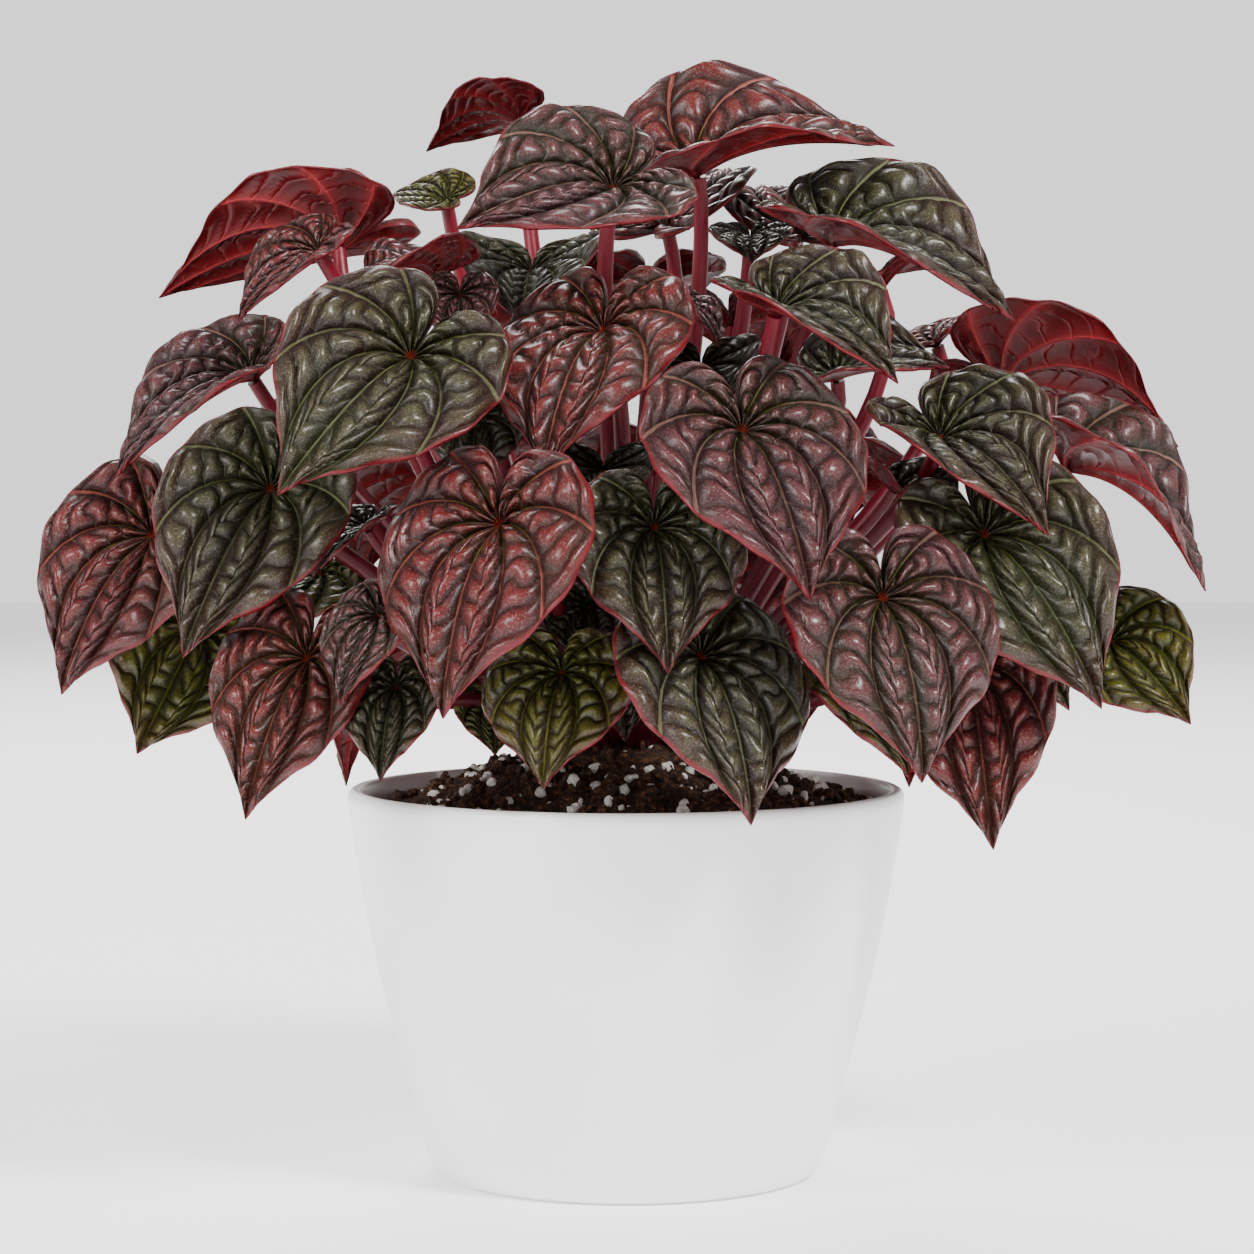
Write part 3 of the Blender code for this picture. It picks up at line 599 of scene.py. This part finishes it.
def groove_turns(strip, across, share, seed):
    """How many cross grooves lie between a point and the joint, counted along its strip."""
    grooves = np.array(CROSS_GROOVES)[strip]
    slant = np.array(GROOVE_SLANT)[strip]
    middle = strip == 0
    inward = np.where(middle & (across > 0.5), 1 - across, across)
    offset = seed * LEAF_PHASE + strip * STRIP_PHASE
    offset = offset + np.where(middle & (across > 0.5), HALF_PHASE, 0.0)
    wobble = LONG_WOBBLE * np.sin(9 * share + 3 * across + seed * 2.1)
    wobble += SHORT_WOBBLE * np.sin(23 * share + seed + strip)
    slant = slant * np.where(middle, MIDDLE_SLANT, 1.0)
    return grooves * share**GROOVE_CROWDING - slant * inward + offset + wobble


def pillow_height(turns, across, share):
    """Height from 0 in the grooves to 1 on the pillows."""
    phase = turns - np.floor(turns)
    crosswise = np.clip(4 * phase * (1 - phase), 0, 1)**PILLOW_ROUNDNESS
    lengthwise = np.clip(4 * across * (1 - across), 0, 1)**PILLOW_ROUNDNESS
    full = np.clip(share / FULL_PILLOW, 0, 1)
    return lengthwise * (CROSS_FLOOR + (1 - CROSS_FLOOR) * crosswise * full)


def blade_arrays(leaf, shares, ring_count, seed):
    """Points of the upper face in the blade's own axes, with what its finish needs at each."""
    rays = strip_rays(shares)
    strip, across, side, start, end = [rays[:, i][:, None] for i in range(5)]
    strip = strip.astype(int)
    inner = np.linspace(0, 1, ring_count)[1:]**RING_CROWDING * MARGIN_START
    ring = np.concatenate([inner, MARGIN_RINGS])[None, :]
    angle = np.radians(end + (start - end) * (1 - ring))
    reach = np.interp(end, OUTLINE_BEARING, OUTLINE_REACH)
    wavy = (end > WAVY_BEARINGS[0]) * (end < WAVY_BEARINGS[1])
    wave = 1 + EDGE_WAVE * np.sin(np.radians(end) * EDGE_WAVES + seed * 3) * wavy
    radius = reach * wave * ring
    x = radius * np.cos(angle)
    y = radius * np.sin(angle) * leaf.breadth * side
    forward = np.clip(x, 0, None)
    height = FUNNEL_HEIGHT * (1 - np.exp(-radius / FUNNEL_REACH))
    height += 4 * leaf.arch * forward * (1 - forward) - FUNNEL_HEIGHT * forward**1.5
    height += leaf.cup * y * y * 4
    share = ring + 0 * radius
    across = across + 0 * radius
    turns = groove_turns(strip, across, share, seed + side)
    pillow = pillow_height(turns, across, share)
    fade = np.clip((1 - share) / CALM_EDGE, 0, 1)**0.7 * np.clip(share / CALM_JOINT, 0, 1)
    height += PILLOW_HEIGHT * (pillow - RELIEF_LEVEL) * fade
    height -= CURL_DEPTH * np.clip((share - CURL_START) / (1 - CURL_START), 0, 1)**2
    nearest = np.minimum(across, 1 - across)
    points = np.stack([x, y, height], axis=-1)
    marks = {
        "aside": nearest,
        "turns": turns,
        "core": np.clip(1 - radius / CORE_REACH, 0, 1)**1.5,
        "edge": np.clip((share - FLUSH_START) / (1 - FLUSH_START), 0, 1)**2,
        "margin": np.clip((share - MARGIN_START) / MARGIN_WIDTH, 0, 1),
    }
    return points, marks


def mark_points(mesh, name, values):
    """A number on every point of a mesh."""
    marks = mesh.attributes.new(name, "FLOAT", "POINT")
    marks.data.foreach_set("value", values.astype(np.float32))


def blade_mesh(name, leaf, shares, ring_count, seed):
    """One closed quilted blade with its colour marks as attributes."""
    axes, length = blade_frame(leaf)
    grid, marks = blade_arrays(leaf, shares, ring_count, seed)
    rays, rings = grid.shape[:2]
    grid *= length
    matrix = np.array(axes)
    thin = BLADE_THICKNESS * (THIN_EDGE + (1 - THIN_EDGE) * (1 - marks["edge"]))
    lower = grid - np.stack([0 * thin, 0 * thin, thin], axis=-1)
    heart = np.zeros((1, 3))
    points = np.concatenate([heart, grid.reshape(-1, 3), heart - [[0, 0, BLADE_THICKNESS]],
                             lower.reshape(-1, 3)])
    points = points @ matrix[:3, :3].T + matrix[:3, 3]
    per_side = 1 + rays * rings
    ray = np.arange(rays)
    first = 1 + ray * rings
    second = 1 + (ray + 1) % rays * rings
    fan = np.stack([0 * ray, first, second], axis=1)
    ring = np.arange(rings - 1)
    near, far = first[:, None] + ring, second[:, None] + ring
    quads = np.stack([near, near + 1, far + 1, far], axis=-1).reshape(-1, 4)
    last, follow = first + rings - 1, second + rings - 1
    rim = np.stack([last, last + per_side, follow + per_side, follow], axis=1)
    faces = [*fan.tolist(), *quads.tolist(), *(fan[:, ::-1] + per_side).tolist(),
             *(quads[:, ::-1] + per_side).tolist(), *rim.tolist()]
    mesh = bpy.data.meshes.new(name)
    mesh.from_pydata(points.tolist(), [], faces)
    mesh.shade_smooth()
    centre = {"core": 1.0}
    for key, values in marks.items():
        one = np.concatenate([[centre.get(key, 0.0)], values.ravel()])
        mark_points(mesh, key, np.concatenate([one, one]))
    mark_points(mesh, "under", np.repeat([0.0, 1.0], per_side))
    return mesh


def make_blades(leaves, materials):
    """A piece for each full leaf, finer on the large ones that the photo shows."""
    for number, leaf in enumerate(leaves):
        length = (Vector(leaf.tip) - Vector(leaf.joint)).length * MM
        fine = length > FINE_LENGTH and not leaf.name.startswith("back")
        shares, rings = (FINE_RAYS, FINE_RINGS) if fine else (PLAIN_RAYS, PLAIN_RINGS)
        mesh = blade_mesh(f"leaf_{leaf.name}", leaf, shares, rings, number * SEED_STEP)
        mesh.materials.append(materials[leaf.finish])
        add_piece(f"leaf_{leaf.name}", mesh, (leaf.name,))


def make_young(leaves, materials):
    """A piece for each small leaf. Their CAD shapes are in the crown's node."""
    for number, leaf in enumerate(leaves):
        seed = number * YOUNG_SEED_STEP + YOUNG_SEED
        mesh = blade_mesh(leaf.name, leaf, PLAIN_RAYS, YOUNG_RINGS, seed)
        mesh.materials.append(materials[leaf.finish])
        add_piece(leaf.name, mesh, ())


def stalk_path(leaf, sink):
    """The Bezier end points and handles of a stalk, as in part.py but sunk into its blade."""
    axes, _ = blade_frame(leaf)
    up = axes.to_3x3() @ Vector((0, 0, 1))
    flat = Vector((axes.translation.x, axes.translation.y, 0))
    spread = min(1.0, flat.length / FULL_SPREAD)
    root = flat.normalized() * ROOT_SPREAD * spread
    root.z = SOIL_TOP + CROWN_RISE - ROOT_DEPTH
    end = axes.translation - up * (BLADE_THICKNESS - sink)
    span = (end - root).length
    outward = Vector((root.x, root.y, 0)).normalized()
    way = (Vector((0, 0, 1)) + outward * STALK_LEAN * spread).normalized()
    return root, root + way * span * STALK_RISE, end - up * span * STALK_ARRIVAL, end


def tube_tree():
    """A node group that sweeps a round section along every path and gives it a finish."""
    tree = bpy.data.node_groups.new("round_stalks", "GeometryNodeTree")
    sockets = tree.interface
    sockets.new_socket("Geometry", in_out="INPUT", socket_type="NodeSocketGeometry")
    sockets.new_socket("Sides", in_out="INPUT", socket_type="NodeSocketInt")
    sockets.new_socket("Finish", in_out="INPUT", socket_type="NodeSocketMaterial")
    sockets.new_socket("Geometry", in_out="OUTPUT", socket_type="NodeSocketGeometry")
    nodes, links = tree.nodes, tree.links
    start, finish = nodes.new("NodeGroupInput"), nodes.new("NodeGroupOutput")
    section = nodes.new("GeometryNodeCurvePrimitiveCircle")
    section.inputs["Radius"].default_value = 1.0
    sweep = nodes.new("GeometryNodeCurveToMesh")
    sweep.inputs["Fill Caps"].default_value = True
    radius = nodes.new("GeometryNodeInputRadius")
    smooth = nodes.new("GeometryNodeSetShadeSmooth")
    painted = nodes.new("GeometryNodeSetMaterial")
    links.new(start.outputs["Sides"], section.inputs["Resolution"])
    links.new(start.outputs["Geometry"], sweep.inputs["Curve"])
    links.new(section.outputs["Curve"], sweep.inputs["Profile Curve"])
    links.new(radius.outputs[0], sweep.inputs["Scale"])
    links.new(sweep.outputs["Mesh"], smooth.inputs["Geometry"])
    links.new(smooth.outputs["Geometry"], painted.inputs["Geometry"])
    links.new(start.outputs["Finish"], painted.inputs["Material"])
    links.new(painted.outputs["Geometry"], finish.inputs["Geometry"])
    return tree


def set_inputs(modifier, **values):
    """Sets a Geometry Nodes modifier's inputs by their names."""
    for item in modifier.node_group.interface.items_tree:
        if item.item_type == "SOCKET" and item.in_out == "INPUT" and item.name in values:
            modifier[item.identifier] = values[item.name]


def settled_mesh(obj, name):
    """The evaluated mesh of a helper object, which is then removed."""
    bpy.context.view_layer.update()
    graph = bpy.context.evaluated_depsgraph_get()
    mesh = bpy.data.meshes.new_from_object(obj.evaluated_get(graph))
    mesh.name = name
    bpy.data.objects.remove(obj)
    return mesh


def make_stalks(leaves, young, material):
    """All stalks in one piece, rising from the root crown."""
    curve = bpy.data.curves.new("stalk_paths", "CURVE")
    curve.dimensions = "3D"
    curve.resolution_u = STALK_STEPS
    sizes = [(leaf, STALK_RADIUS, STALK_SINK) for leaf in leaves]
    sizes += [(leaf, YOUNG_STALK_RADIUS, YOUNG_STALK_SINK) for leaf in young]
    for leaf, radius, sink in sizes:
        root, leave, arrive, end = stalk_path(leaf, sink)
        spline = curve.splines.new("BEZIER")
        spline.bezier_points.add(1)
        low, high = spline.bezier_points
        low.co, low.handle_right, low.handle_left = root, leave, root * 2 - leave
        high.co, high.handle_left, high.handle_right = end, arrive, end * 2 - arrive
        low.radius, high.radius = [radius * share for share in STALK_TAPER]
    helper = linked_object("stalk_paths", curve)
    sweep = helper.modifiers.new("sweep", "NODES")
    sweep.node_group = tube_tree()
    set_inputs(sweep, Sides=STALK_SIDES, Finish=material)
    mesh = settled_mesh(helper, "stalks")
    add_piece("stalks", mesh, ())


def make_crown(material):
    """The low crown that the stalks rise from, under a crust of soil."""
    edit = bmesh.new()
    bmesh.ops.create_icosphere(edit, subdivisions=5, radius=1)
    for vertex in edit.verts:
        direction = vertex.co.normalized()
        knobs = 1 + LARGE_KNOB * math.sin(9 * direction.x + 2) * math.sin(8 * direction.y)
        knobs += SMALL_KNOB * math.sin(21 * direction.x) * math.sin(19 * direction.y + 1)
        flat = HUMP_RADIUS * knobs
        tall = (CROWN_RISE if direction.z > 0 else CROWN_DEPTH) * knobs
        vertex.co = (direction.x * flat, direction.y * flat, SOIL_TOP + direction.z * tall)
    mesh = bpy.data.meshes.new("root_crown")
    edit.to_mesh(mesh)
    edit.free()
    mesh.shade_smooth()
    mesh.materials.append(material)
    add_piece("root_crown", mesh, ("crown",))


def soil_surface(x, y):
    """The soil's height: the CAD mound with finer lumps on it."""
    radius = np.hypot(x, y)
    share = np.clip(radius / SOIL_EDGE, 0, 1)
    mound = SOIL_EDGE_Z + (SOIL_TOP - SOIL_EDGE_Z) * (0.5 + 0.5 * np.cos(np.pi * share**SOIL_POWER))
    lumps = np.zeros_like(radius)
    draw = np.random.default_rng(SOIL_SEED)
    for size, tall in SOIL_LUMPS:
        for _ in range(LUMP_WAVES):
            bearing, phase = draw.uniform(0, 2 * math.pi, 2)
            step = 2 * math.pi / (size * MM) * draw.uniform(*LUMP_SPREAD)
            wave = np.sin((x * math.cos(bearing) + y * math.sin(bearing)) * step + phase)
            lumps += tall * MM * LUMP_SHARE * wave
    calm = np.clip((SOIL_EDGE - radius) / SOIL_CALM, 0, 1)
    return mound + lumps * calm


def ground(x, y):
    """The height of the soil, or of the crown where that stands higher."""
    share = np.clip(np.hypot(x, y) / HUMP_RADIUS, 0, 1)
    hump = SOIL_TOP + CROWN_RISE * np.sqrt(1 - share**2) - CRUST_SINK
    soil = soil_surface(x, y)
    return np.where(share < 1, np.maximum(hump, soil), soil)


def lathed_faces(rows, sides):
    """Faces over rows of points round the axis, closed by a centre point before the first row and
    one past the last. The two centre points come after all the rows."""
    before, after = rows * sides, rows * sides + 1
    faces = []
    for step in range(sides):
        turned = (step + 1) % sides
        faces.append((before, step, turned))
        faces.append((after, (rows - 1) * sides + turned, (rows - 1) * sides + step))
        for row in range(rows - 1):
            low, high = row * sides, (row + 1) * sides
            faces.append((low + step, high + step, high + turned, low + turned))
    return faces


def make_soil(material):
    """A crumbly mound inside the pot, with closed sides."""
    radius = np.linspace(0, SOIL_EDGE, SOIL_RINGS + 1)[1:]
    bearing = np.linspace(0, 2 * math.pi, SOIL_SIDES, endpoint=False)
    x = np.outer(radius, np.cos(bearing))
    y = np.outer(radius, np.sin(bearing))
    top = np.stack([x, y, soil_surface(x, y)], axis=-1).reshape(-1, 3)
    centre = [[0, 0, float(soil_surface(np.zeros(1), np.zeros(1))[0])]]
    floor = np.full(SOIL_SIDES, SOIL_FLOOR_Z)
    low = np.stack([x[-1] * SOIL_FOOT, y[-1] * SOIL_FOOT, floor], axis=-1)
    points = np.concatenate([top, low, centre, [[0, 0, SOIL_FLOOR_Z]]])
    faces = lathed_faces(SOIL_RINGS + 1, SOIL_SIDES)
    mesh = bpy.data.meshes.new("soil_mound")
    mesh.from_pydata(points.tolist(), [], faces)
    mesh.shade_smooth()
    mesh.materials.append(material)
    add_piece("soil_mound", mesh, ("soil",))


def crumb_shape(name, seed, detail, stretch=(1, 1, 1)):
    """A unit lump with broken sides, as a source for scattered grains."""
    draw = random.Random(seed)
    edit = bmesh.new()
    bmesh.ops.create_icosphere(edit, subdivisions=detail, radius=1)
    cuts = [Vector([draw.gauss(0, 1) for _ in range(3)]).normalized() for _ in range(GRAIN_FLATS)]
    for vertex in edit.verts:
        for cut in cuts:
            over = vertex.co.dot(cut) - FLAT_AT
            if over > 0:
                vertex.co -= cut * over
        vertex.co *= 1 + draw.uniform(-GRAIN_UNEVEN, GRAIN_UNEVEN)
        vertex.co = Vector([c * s for c, s in zip(vertex.co, stretch)])
    mesh = bpy.data.meshes.new(name)
    edit.to_mesh(mesh)
    edit.free()
    return linked_object(name, mesh)


def scatter_tree():
    """A node group that sets a shape on every point, turned at random and sized by its mark."""
    tree = bpy.data.node_groups.new("scattered_grains", "GeometryNodeTree")
    sockets = tree.interface
    sockets.new_socket("Geometry", in_out="INPUT", socket_type="NodeSocketGeometry")
    sockets.new_socket("Grain", in_out="INPUT", socket_type="NodeSocketObject")
    sockets.new_socket("Seed", in_out="INPUT", socket_type="NodeSocketInt")
    sockets.new_socket("Finish", in_out="INPUT", socket_type="NodeSocketMaterial")
    sockets.new_socket("Geometry", in_out="OUTPUT", socket_type="NodeSocketGeometry")
    nodes, links = tree.nodes, tree.links
    start, finish = nodes.new("NodeGroupInput"), nodes.new("NodeGroupOutput")
    grain = nodes.new("GeometryNodeObjectInfo")
    place = nodes.new("GeometryNodeInstanceOnPoints")
    turn = nodes.new("FunctionNodeRandomValue")
    turn.data_type = "FLOAT_VECTOR"
    turn.inputs["Max"].default_value = (GRAIN_TURN, GRAIN_TURN, GRAIN_TURN)
    size = nodes.new("GeometryNodeInputNamedAttribute")
    size.data_type = "FLOAT"
    size.inputs["Name"].default_value = "size"
    real = nodes.new("GeometryNodeRealizeInstances")
    painted = nodes.new("GeometryNodeSetMaterial")
    links.new(start.outputs["Grain"], grain.inputs["Object"])
    links.new(start.outputs["Geometry"], place.inputs["Points"])
    links.new(grain.outputs["Geometry"], place.inputs["Instance"])
    links.new(start.outputs["Seed"], turn.inputs["Seed"])
    links.new(turn.outputs[0], place.inputs["Rotation"])
    links.new(size.outputs[0], place.inputs["Scale"])
    links.new(place.outputs["Instances"], real.inputs["Geometry"])
    links.new(real.outputs["Geometry"], painted.inputs["Geometry"])
    links.new(start.outputs["Finish"], painted.inputs["Material"])
    links.new(painted.outputs["Geometry"], finish.inputs["Geometry"])
    return tree


def make_grains(name, tree, shape, count, sizes, seed, material, rise):
    """Grains spread over the soil and the crown, with sizes in millimetres and many small ones."""
    draw = np.random.default_rng(seed)
    radius = np.sqrt(draw.uniform(GRAIN_FROM**2, GRAIN_TO**2, count))
    bearing = draw.uniform(0, 2 * math.pi, count)
    x, y = radius * np.cos(bearing), radius * np.sin(bearing)
    size = (sizes[0] + (sizes[1] - sizes[0]) * draw.uniform(0, 1, count)**2) * MM
    z = ground(x, y) + size * rise
    mesh = bpy.data.meshes.new(name + "_places")
    mesh.from_pydata(np.stack([x, y, z], axis=1).tolist(), [], [])
    mark_points(mesh, "size", size)
    helper = linked_object(name + "_places", mesh)
    scatter = helper.modifiers.new("scatter", "NODES")
    scatter.node_group = tree
    set_inputs(scatter, Grain=shape, Seed=seed, Finish=material)
    add_piece(name, settled_mesh(helper, name), ())


def make_pot(material):
    """The pot, smoother than its CAD solid, with a softly rolled rim."""
    turns = [2 * math.pi * step / POT_SIDES for step in range(POT_SIDES)]
    points = [(radius * MM * math.cos(turn), radius * MM * math.sin(turn), height * MM)
              for radius, height in POT_PROFILE for turn in turns]
    points += [(0, 0, 0), (0, 0, POT_PROFILE[-1][1] * MM)]
    faces = [face[::-1] for face in lathed_faces(len(POT_PROFILE), POT_SIDES)]
    mesh = bpy.data.meshes.new("smooth_pot")
    mesh.from_pydata(points, [], faces)
    mesh.shade_smooth()
    mesh.materials.append(material)
    add_piece("smooth_pot", mesh, ("pot",))


def make_stage():
    """A wide plain floor."""
    mesh = bpy.data.meshes.new("floor")
    corners = [(x * FLOOR_REACH, y * FLOOR_REACH, 0) for x, y in ((-1, -1), (1, -1), (1, 1), (-1, 1))]
    mesh.from_pydata(corners, [], [(0, 1, 2, 3)])
    mesh.materials.append(floor_material())
    floor = linked_object("floor", mesh)


def add_light(name, place, size, power):
    """A square soft light that points at the plant."""
    light = bpy.data.lights.new(name, "AREA")
    light.size = size
    light.energy = power
    lamp = linked_object(name, light)
    lamp.location = place
    lamp.rotation_euler = (Vector(LIT_POINT) - Vector(place)).to_track_quat("-Z", "Y").to_euler()


def make_lights():
    """Three soft lights, and a pale world that is brightest near the horizon."""
    for name, place, size, power in LIGHTS:
        add_light(name, place, size, power)
    world = bpy.data.worlds.new("studio")
    bpy.context.scene.world = world
    world.use_nodes = True
    nodes, links = world.node_tree.nodes, world.node_tree.links
    background = nodes["Background"]
    background.inputs["Color"].default_value = (1, 1, 1, 1)
    direction = nodes.new("ShaderNodeTexCoord")
    upward = nodes.new("ShaderNodeSeparateXYZ")
    glow = nodes.new("ShaderNodeMapRange")
    glow.inputs["From Min"].default_value = GLOW_HEIGHTS[0]
    glow.inputs["From Max"].default_value = GLOW_HEIGHTS[1]
    glow.inputs["To Min"].default_value = HORIZON_GLOW
    glow.inputs["To Max"].default_value = OVERHEAD_GLOW
    links.new(direction.outputs["Generated"], upward.inputs[0])
    links.new(upward.outputs["Z"], glow.inputs["Value"])
    links.new(glow.outputs[0], background.inputs["Strength"])


def make_camera():
    """The photograph's view: 0.9 m away, looking down by 2.9 degrees."""
    data = bpy.data.cameras.new("photo_view")
    data.sensor_width = CAMERA_SENSOR
    data.lens = CAMERA_LENS
    data.shift_x = CAMERA_SHIFT
    data.clip_start = CAMERA_NEAR
    camera = linked_object("photo_view", data)
    camera.location = CAMERA_PLACE
    camera.rotation_euler = (math.radians(CAMERA_TILT), 0, 0)
    bpy.context.scene.camera = camera


def main():
    """Builds the whole scene round the frame."""
    make_camera()
    make_lights()
    make_stage()
    leaves = list(LEAVES) + far_leaves()
    finishes = {finish: leaf_material(finish) for finish in FINISHES}
    stalk, soil, perlite = stalk_material(), soil_material(), perlite_material()
    make_pot(pot_material())
    make_soil(soil)
    make_crown(soil)
    make_stalks(leaves, YOUNG_LEAVES, stalk)
    make_blades(leaves, finishes)
    make_young(YOUNG_LEAVES, finishes)
    scatter = scatter_tree()
    sources = {"crumb": crumb_shape("crumb", 3, 1),
               "pebble": crumb_shape("pebble", 8, 2, (1, 0.85, 0.7)),
               "chip": crumb_shape("chip", 14, 1, (1.6, 0.7, 0.35))}
    paints = {"soil": soil, "perlite": perlite}
    for name, source, count, sizes, seed, paint, rise in GRAINS:
        make_grains(name, scatter, sources[source], count, sizes, seed, paints[paint], rise)
    for shape in sources.values():
        bpy.data.objects.remove(shape)


main()
